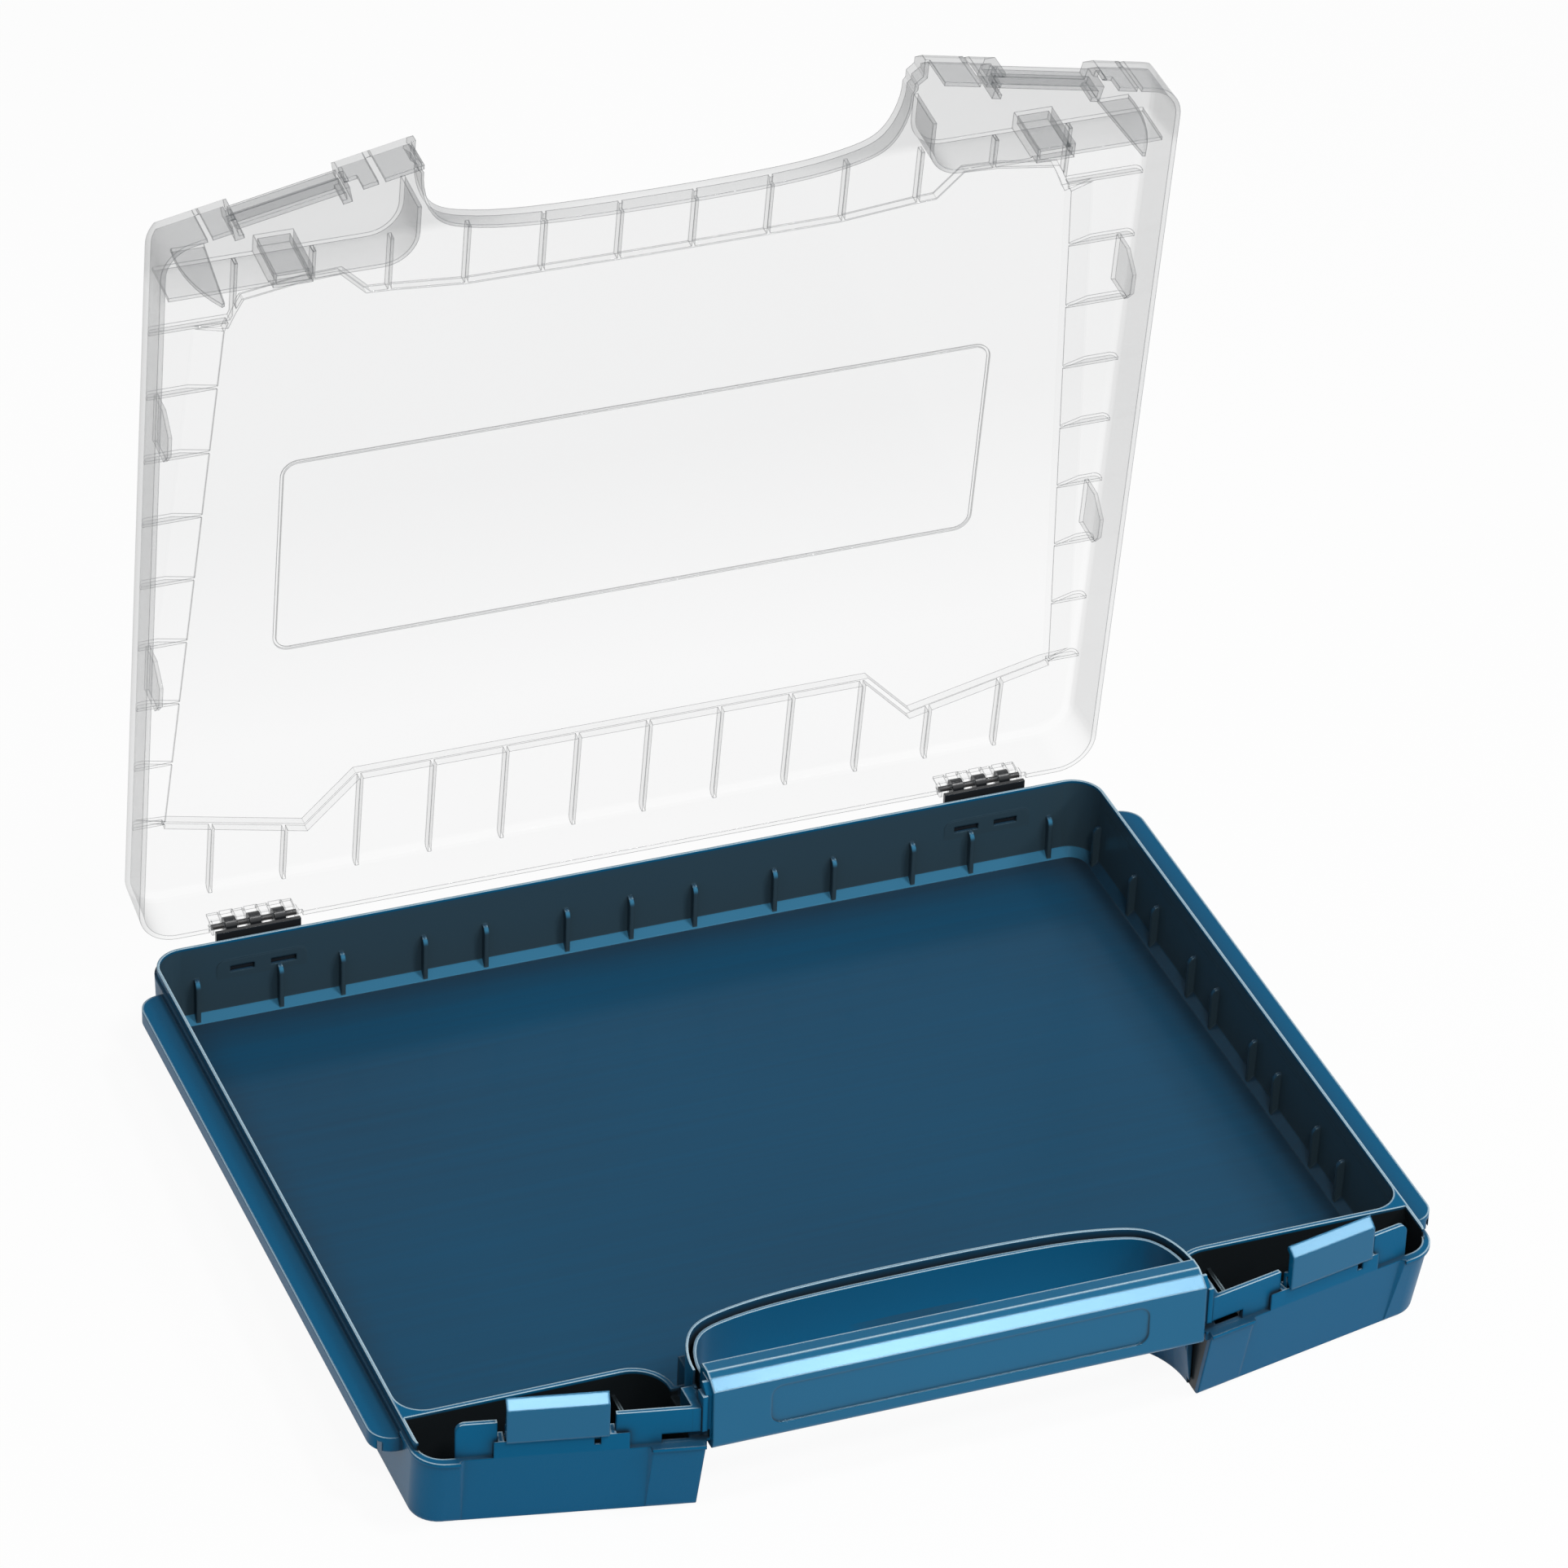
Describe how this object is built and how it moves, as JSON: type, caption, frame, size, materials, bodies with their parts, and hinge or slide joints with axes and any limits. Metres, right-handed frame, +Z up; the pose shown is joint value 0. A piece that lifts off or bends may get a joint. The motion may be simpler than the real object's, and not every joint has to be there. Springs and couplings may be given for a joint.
{
  "type": "saw blade storage case",
  "caption": "Flat blue plastic case with a clear hinged lid, snap latches, a carry handle and side rails; empty compartment for saw blades.",
  "frame": {"origin": "on the underside of the tray, in the middle of the case's outline between the hinge side and the handle side", "axes": "+X to the right across the case as seen from the handle, +Y towards the hinges, +Z up"},
  "size_m": [0.367, 0.3329, 0.3456],
  "materials": {
    "tray_blue": "satin moulded plastic",
    "grip_blue": "satin moulded plastic",
    "latch_blue": "satin moulded plastic",
    "lid_clear": "clear moulded plastic",
    "hinge_dark": "dark moulded plastic",
    "pin_steel": "drawn steel wire"
  },
  "bodies": {
    "case": {"base_tray": "tray_blue", "handle_grip": "grip_blue", "latch_pin_left": "pin_steel", "latch_pin_right": "pin_steel", "hinge_bracket_left": "hinge_dark", "hinge_bracket_right": "hinge_dark", "hinge_pin_left": "pin_steel", "hinge_pin_right": "pin_steel"},
    "lid_body": {"lid": "lid_clear"},
    "left_latch": {"latch_left": "latch_blue"},
    "right_latch": {"latch_right": "latch_blue"}
  },
  "joints": [
    {"name": "lid_hinge", "type": "hinge", "parent": "case", "child": "lid_body", "pos_m": [0, 0.1556, 0.0331], "axis": [1, 0, 0], "range_deg": [-12.4, 82.6]},
    {"name": "left_latch_hinge", "type": "hinge", "parent": "case", "child": "left_latch", "pos_m": [-0.13148, -0.14443, 0.0343], "axis": [0.9778, -0.2097, 0], "range_deg": [0, 27]},
    {"name": "right_latch_hinge", "type": "hinge", "parent": "case", "child": "right_latch", "pos_m": [0.13148, -0.14443, 0.0343], "axis": [0.9778, 0.2097, 0], "range_deg": [0, 27]}
  ]
}
